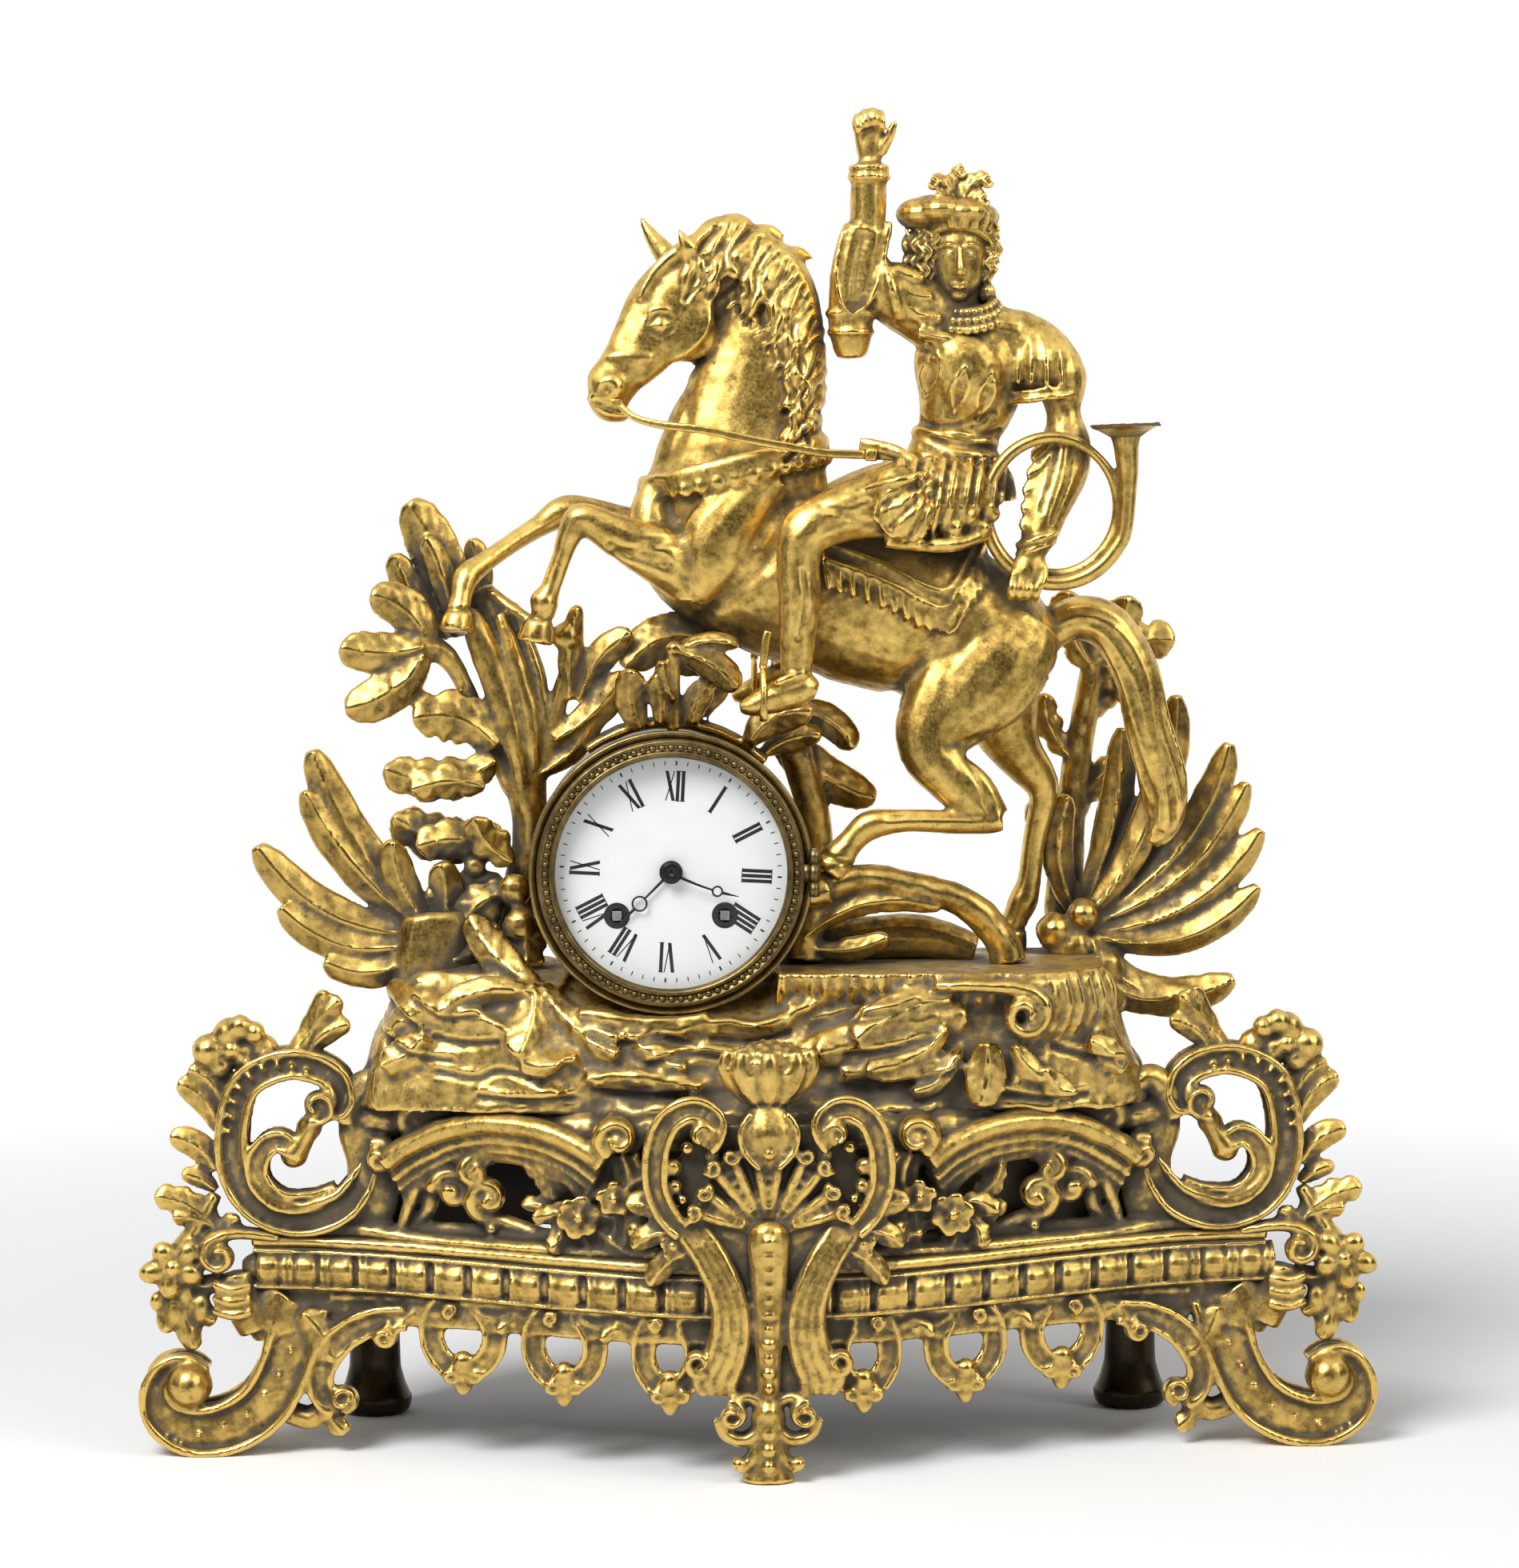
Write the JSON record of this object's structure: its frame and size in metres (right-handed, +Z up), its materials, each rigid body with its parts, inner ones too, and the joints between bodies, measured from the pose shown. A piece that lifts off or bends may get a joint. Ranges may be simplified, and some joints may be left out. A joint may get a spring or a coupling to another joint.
{
  "type": "table clock",
  "caption": "Gilt figural table clock: hunting rider on a rearing horse over a drum clock with white dial, on a rocky mound and a pierced scroll base.",
  "frame": {"origin": "middle of the footprint on the plane the feet stand on", "axes": "+X to the viewer's right, +Y away from the viewer of the dial, +Z up"},
  "size_m": [0.4346, 0.135, 0.4682],
  "materials": {
    "gilt": "worn gilding over cast metal",
    "case_brass": "antiqued brass",
    "movement_brass": "satin brass",
    "steel": "bright steel",
    "blued_steel": "blued black",
    "enamel": "white enamel",
    "glass": "clear"
  },
  "bodies": {
    "clock": {"base_shell": "gilt", "base_apron": "gilt", "gadroon_moulding": "gilt", "left_scroll": "gilt", "right_scroll": "gilt", "left_flower_drop": "gilt", "right_flower_drop": "gilt", "centre_cartouche": "gilt", "back_left_foot": "gilt", "back_right_foot": "gilt", "rock_mound": "gilt", "horse": "gilt", "rider": "gilt", "hunting_horn": "gilt", "reins": "gilt", "near_stirrup": "gilt", "far_stirrup": "gilt", "tree_spray": "gilt", "left_reeds": "gilt", "crest_leaves": "gilt", "right_bush": "gilt", "right_reeds": "gilt", "fallen_branch": "gilt", "drum_case": "case_brass", "front_plate": "movement_brass", "back_plate": "movement_brass", "pillar_1": "movement_brass", "pillar_2": "movement_brass", "pillar_3": "movement_brass", "pillar_4": "movement_brass", "suspension_cock": "movement_brass", "bell": "movement_brass", "bezel_hinge_pin": "steel", "back_cover_hinge_pin": "steel", "bell_stand": "steel", "dial": "enamel"},
    "bezel_door": {"bezel": "case_brass", "bezel_glass": "glass"},
    "back_door": {"back_cover": "case_brass"},
    "minute": {"centre_wheel": "movement_brass", "minute_hand": "blued_steel", "hand_collet": "blued_steel"},
    "hour": {"hour_wheel": "movement_brass", "hour_hand": "blued_steel"},
    "minute_wheel": {"minute_wheel": "movement_brass"},
    "second_wheel": {"second_wheel": "movement_brass"},
    "third_wheel": {"third_wheel": "movement_brass"},
    "escape_wheel": {"escape_wheel": "movement_brass"},
    "going_barrel": {"going_barrel": "movement_brass"},
    "going_winding": {"going_winding_arbor": "steel"},
    "strike_barrel": {"strike_barrel": "movement_brass"},
    "strike_winding": {"strike_winding_arbor": "steel"},
    "strike_second": {"strike_second_wheel": "movement_brass"},
    "pin_wheel": {"pin_wheel": "movement_brass"},
    "fly": {"fly": "movement_brass"},
    "anchor": {"anchor": "steel"},
    "pendulum": {"pendulum_rod": "steel", "pendulum_bob": "movement_brass"},
    "hammer": {"hammer": "steel"}
  },
  "joints": [
    {"name": "bezel_hinge", "type": "hinge", "parent": "clock", "child": "bezel_door", "pos_m": [0.0168, -0.0375, 0.205], "axis": [0, 0, 1], "range_deg": [0, 110]},
    {"name": "back_cover_hinge", "type": "hinge", "parent": "clock", "child": "back_door", "pos_m": [0.0149, 0.0395, 0.205], "axis": [0, 0, -1], "range_deg": [0, 110]},
    {"name": "minute_turn", "type": "hinge", "parent": "clock", "child": "minute", "pos_m": [-0.032, -0.0055, 0.205], "axis": [0, 1, 0], "continuous": true},
    {"name": "hour_turn", "type": "hinge", "parent": "clock", "child": "hour", "pos_m": [-0.032, -0.0055, 0.205], "axis": [0, 1, 0], "continuous": true},
    {"name": "minute_wheel_turn", "type": "hinge", "parent": "clock", "child": "minute_wheel", "pos_m": [-0.032, -0.0055, 0.19384], "axis": [0, 1, 0], "continuous": true},
    {"name": "second_turn", "type": "hinge", "parent": "clock", "child": "second_wheel", "pos_m": [-0.01385, -0.0055, 0.20848], "axis": [0, 1, 0], "continuous": true},
    {"name": "third_turn", "type": "hinge", "parent": "clock", "child": "third_wheel", "pos_m": [-0.04437, -0.0055, 0.21873], "axis": [0, 1, 0], "continuous": true},
    {"name": "escape_turn", "type": "hinge", "parent": "clock", "child": "escape_wheel", "pos_m": [-0.032, -0.0055, 0.229], "axis": [0, 1, 0], "continuous": true},
    {"name": "going_barrel_turn", "type": "hinge", "parent": "clock", "child": "going_barrel", "pos_m": [-0.0135, -0.0055, 0.19], "axis": [0, 1, 0], "continuous": true},
    {"name": "going_winding_turn", "type": "hinge", "parent": "clock", "child": "going_winding", "pos_m": [-0.0135, -0.0055, 0.19], "axis": [0, 1, 0], "continuous": true},
    {"name": "strike_barrel_turn", "type": "hinge", "parent": "clock", "child": "strike_barrel", "pos_m": [-0.0505, -0.0055, 0.19], "axis": [0, 1, 0], "continuous": true},
    {"name": "strike_winding_turn", "type": "hinge", "parent": "clock", "child": "strike_winding", "pos_m": [-0.0505, -0.0055, 0.19], "axis": [0, 1, 0], "continuous": true},
    {"name": "strike_second_turn", "type": "hinge", "parent": "clock", "child": "strike_second", "pos_m": [-0.05528, -0.0055, 0.20785], "axis": [0, 1, 0], "continuous": true},
    {"name": "pin_wheel_turn", "type": "hinge", "parent": "clock", "child": "pin_wheel", "pos_m": [-0.05808, -0.0055, 0.22369], "axis": [0, 1, 0], "continuous": true},
    {"name": "fly_turn", "type": "hinge", "parent": "clock", "child": "fly", "pos_m": [-0.05516, -0.0055, 0.23458], "axis": [0, 1, 0], "continuous": true},
    {"name": "anchor_rock", "type": "hinge", "parent": "clock", "child": "anchor", "pos_m": [-0.032, -0.0055, 0.24], "axis": [0, 1, 0], "range_deg": [-3.5, 3.5]},
    {"name": "pendulum_swing", "type": "hinge", "parent": "clock", "child": "pendulum", "pos_m": [-0.032, 0.0155, 0.24], "axis": [0, 1, 0], "range_deg": [-3, 3]},
    {"name": "hammer_lift", "type": "hinge", "parent": "clock", "child": "hammer", "pos_m": [-0.07, 0.0155, 0.196], "axis": [0, -1, 0], "range_deg": [0, 12]}
  ],
  "couplings": [
    {"joint": "hour_turn", "follows": "minute_turn", "ratio": 0.083333},
    {"joint": "minute_wheel_turn", "follows": "minute_turn", "ratio": -0.33333},
    {"joint": "second_turn", "follows": "minute_turn", "ratio": -0.25},
    {"joint": "going_barrel_turn", "follows": "minute_turn", "ratio": 0.0625},
    {"joint": "third_turn", "follows": "minute_turn", "ratio": -4},
    {"joint": "escape_turn", "follows": "minute_turn", "ratio": 13.333},
    {"joint": "strike_second_turn", "follows": "strike_barrel_turn", "ratio": -4},
    {"joint": "pin_wheel_turn", "follows": "strike_barrel_turn", "ratio": 13.333},
    {"joint": "fly_turn", "follows": "strike_barrel_turn", "ratio": -26.667},
    {"joint": "anchor_rock", "follows": "pendulum_swing", "ratio": 1}
  ]
}
